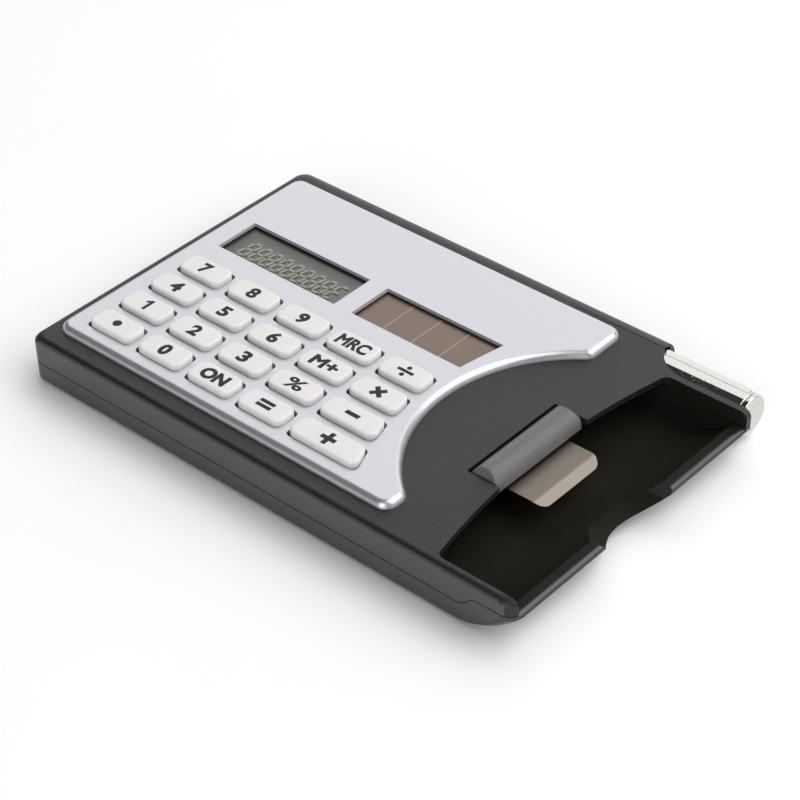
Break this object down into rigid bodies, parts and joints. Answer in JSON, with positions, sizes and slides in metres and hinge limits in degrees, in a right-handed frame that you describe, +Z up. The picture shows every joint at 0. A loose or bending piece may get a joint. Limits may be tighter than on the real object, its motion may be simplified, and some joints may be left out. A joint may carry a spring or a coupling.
{
  "type": "pocket calculator with card case and pen",
  "caption": "Solar pocket calculator built into the lid of a business-card case, with a thumb slider for the cards and a pen along one side",
  "frame": {"origin": "middle of the case's footprint, on the surface that it lies on", "axes": "+X along the case towards the open card bay and the pen's end, +Y towards the pen's side, +Z up through the keys"},
  "size_m": [0.1072, 0.0706, 0.0116],
  "materials": {
    "black_case": "moulded black ABS with a fine spark-eroded grain, smoother and glossier in the card bay",
    "silver_plate": "silver metallic paint on moulded plastic",
    "key_white": "satin white plastic with black printed legends",
    "bar_grey": "satin grey plastic",
    "stainless_leaf": "thin rolled stainless strip",
    "chrome": "bright chrome plating",
    "brass_ring": "bright brass",
    "ink_tube": "translucent tube",
    "board_green": "green solder mask",
    "chip_epoxy": "black potting resin",
    "silicone": "moulded grey silicone",
    "connector_rubber": "layered conductive rubber",
    "display_glass": "grey-green reflective liquid-crystal glass",
    "solar_glass": "brown amorphous silicon behind glass",
    "nickel": "nickel-plated steel",
    "screw_steel": "zinc-plated steel"
  },
  "bodies": {
    "case": {"top_shell": "black_case", "bottom_shell": "black_case", "divider": "black_case", "faceplate": "silver_plate", "circuit_board": "board_green", "chip_cover": "chip_epoxy", "key_mat": "silicone", "display_connector": "connector_rubber", "display": "display_glass", "solar_cell": "solar_glass", "solar_contact_left": "nickel", "solar_contact_right": "nickel", "button_cell": "nickel", "cell_contact_lower": "nickel", "cell_contact_side": "nickel", "screw_1": "screw_steel", "screw_2": "screw_steel", "screw_3": "screw_steel", "screw_4": "screw_steel"},
    "slider": {"thumb_bar": "bar_grey", "leaf_spring": "stainless_leaf"},
    "pen": {"pen_barrel": "chrome", "pen_nose": "chrome", "pen_refill": "ink_tube", "pen_ring": "brass_ring", "pen_plug": "chrome", "pen_clip": "chrome"},
    "key_7_cap": {"key_7": "key_white"},
    "key_8_cap": {"key_8": "key_white"},
    "key_9_cap": {"key_9": "key_white"},
    "key_memory_recall_cap": {"key_memory_recall": "key_white"},
    "key_divide_cap": {"key_divide": "key_white"},
    "key_4_cap": {"key_4": "key_white"},
    "key_5_cap": {"key_5": "key_white"},
    "key_6_cap": {"key_6": "key_white"},
    "key_memory_add_cap": {"key_memory_add": "key_white"},
    "key_multiply_cap": {"key_multiply": "key_white"},
    "key_1_cap": {"key_1": "key_white"},
    "key_2_cap": {"key_2": "key_white"},
    "key_3_cap": {"key_3": "key_white"},
    "key_percent_cap": {"key_percent": "key_white"},
    "key_minus_cap": {"key_minus": "key_white"},
    "key_point_cap": {"key_point": "key_white"},
    "key_0_cap": {"key_0": "key_white"},
    "key_on_cap": {"key_on": "key_white"},
    "key_equals_cap": {"key_equals": "key_white"},
    "key_plus_cap": {"key_plus": "key_white"}
  },
  "joints": [
    {"name": "card_slide", "type": "slide", "parent": "case", "child": "slider", "axis": [1, 0, 0], "range_m": [0, 0.009]},
    {"name": "pen_slide", "type": "slide", "parent": "case", "child": "pen", "axis": [1, 0, 0], "range_m": [0, 0.08]},
    {"name": "key_7_press", "type": "slide", "parent": "case", "child": "key_7_cap", "axis": [0, 0, -1], "range_m": [0, 0.0006], "stiffness_N_per_m": 400},
    {"name": "key_8_press", "type": "slide", "parent": "case", "child": "key_8_cap", "axis": [0, 0, -1], "range_m": [0, 0.0006], "stiffness_N_per_m": 400},
    {"name": "key_9_press", "type": "slide", "parent": "case", "child": "key_9_cap", "axis": [0, 0, -1], "range_m": [0, 0.0006], "stiffness_N_per_m": 400},
    {"name": "key_memory_recall_press", "type": "slide", "parent": "case", "child": "key_memory_recall_cap", "axis": [0, 0, -1], "range_m": [0, 0.0006], "stiffness_N_per_m": 400},
    {"name": "key_divide_press", "type": "slide", "parent": "case", "child": "key_divide_cap", "axis": [0, 0, -1], "range_m": [0, 0.0006], "stiffness_N_per_m": 400},
    {"name": "key_4_press", "type": "slide", "parent": "case", "child": "key_4_cap", "axis": [0, 0, -1], "range_m": [0, 0.0006], "stiffness_N_per_m": 400},
    {"name": "key_5_press", "type": "slide", "parent": "case", "child": "key_5_cap", "axis": [0, 0, -1], "range_m": [0, 0.0006], "stiffness_N_per_m": 400},
    {"name": "key_6_press", "type": "slide", "parent": "case", "child": "key_6_cap", "axis": [0, 0, -1], "range_m": [0, 0.0006], "stiffness_N_per_m": 400},
    {"name": "key_memory_add_press", "type": "slide", "parent": "case", "child": "key_memory_add_cap", "axis": [0, 0, -1], "range_m": [0, 0.0006], "stiffness_N_per_m": 400},
    {"name": "key_multiply_press", "type": "slide", "parent": "case", "child": "key_multiply_cap", "axis": [0, 0, -1], "range_m": [0, 0.0006], "stiffness_N_per_m": 400},
    {"name": "key_1_press", "type": "slide", "parent": "case", "child": "key_1_cap", "axis": [0, 0, -1], "range_m": [0, 0.0006], "stiffness_N_per_m": 400},
    {"name": "key_2_press", "type": "slide", "parent": "case", "child": "key_2_cap", "axis": [0, 0, -1], "range_m": [0, 0.0006], "stiffness_N_per_m": 400},
    {"name": "key_3_press", "type": "slide", "parent": "case", "child": "key_3_cap", "axis": [0, 0, -1], "range_m": [0, 0.0006], "stiffness_N_per_m": 400},
    {"name": "key_percent_press", "type": "slide", "parent": "case", "child": "key_percent_cap", "axis": [0, 0, -1], "range_m": [0, 0.0006], "stiffness_N_per_m": 400},
    {"name": "key_minus_press", "type": "slide", "parent": "case", "child": "key_minus_cap", "axis": [0, 0, -1], "range_m": [0, 0.0006], "stiffness_N_per_m": 400},
    {"name": "key_point_press", "type": "slide", "parent": "case", "child": "key_point_cap", "axis": [0, 0, -1], "range_m": [0, 0.0006], "stiffness_N_per_m": 400},
    {"name": "key_0_press", "type": "slide", "parent": "case", "child": "key_0_cap", "axis": [0, 0, -1], "range_m": [0, 0.0006], "stiffness_N_per_m": 400},
    {"name": "key_on_press", "type": "slide", "parent": "case", "child": "key_on_cap", "axis": [0, 0, -1], "range_m": [0, 0.0006], "stiffness_N_per_m": 400},
    {"name": "key_equals_press", "type": "slide", "parent": "case", "child": "key_equals_cap", "axis": [0, 0, -1], "range_m": [0, 0.0006], "stiffness_N_per_m": 400},
    {"name": "key_plus_press", "type": "slide", "parent": "case", "child": "key_plus_cap", "axis": [0, 0, -1], "range_m": [0, 0.0006], "stiffness_N_per_m": 400}
  ]
}
